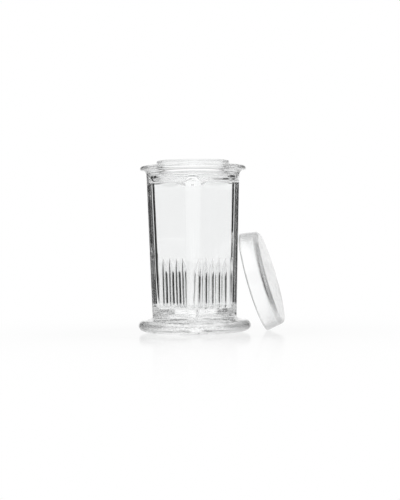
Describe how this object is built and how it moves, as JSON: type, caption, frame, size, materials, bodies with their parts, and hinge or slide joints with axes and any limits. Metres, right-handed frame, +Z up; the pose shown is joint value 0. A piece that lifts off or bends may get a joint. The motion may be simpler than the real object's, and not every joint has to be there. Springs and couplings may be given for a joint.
{
  "type": "disinfectant jar",
  "caption": "Footed upright jar of clear pressed glass with ribs inside that part slides or slim tools, a flanged round mouth, and a loose glass cap lid leaning on its side.",
  "frame": {"origin": "centre of the foot's flat underside, on the table", "axes": "+Z up along the jar; +X and +Y are square to its flat walls, and the ribs are on the walls that face X"},
  "size_m": [0.0668, 0.0867, 0.0901],
  "materials": {
    "clear_glass": "fire-polished pressed glass, clear and neutral"
  },
  "bodies": {
    "jar": {"jar": "clear_glass"},
    "lid": {"lid": "clear_glass"}
  },
  "joints": [
    {"name": "lid_lift", "type": "slide", "parent": "jar", "child": "lid", "axis": [0.601, 0.3726, 0.7071], "range_m": [0, 0.11]}
  ]
}
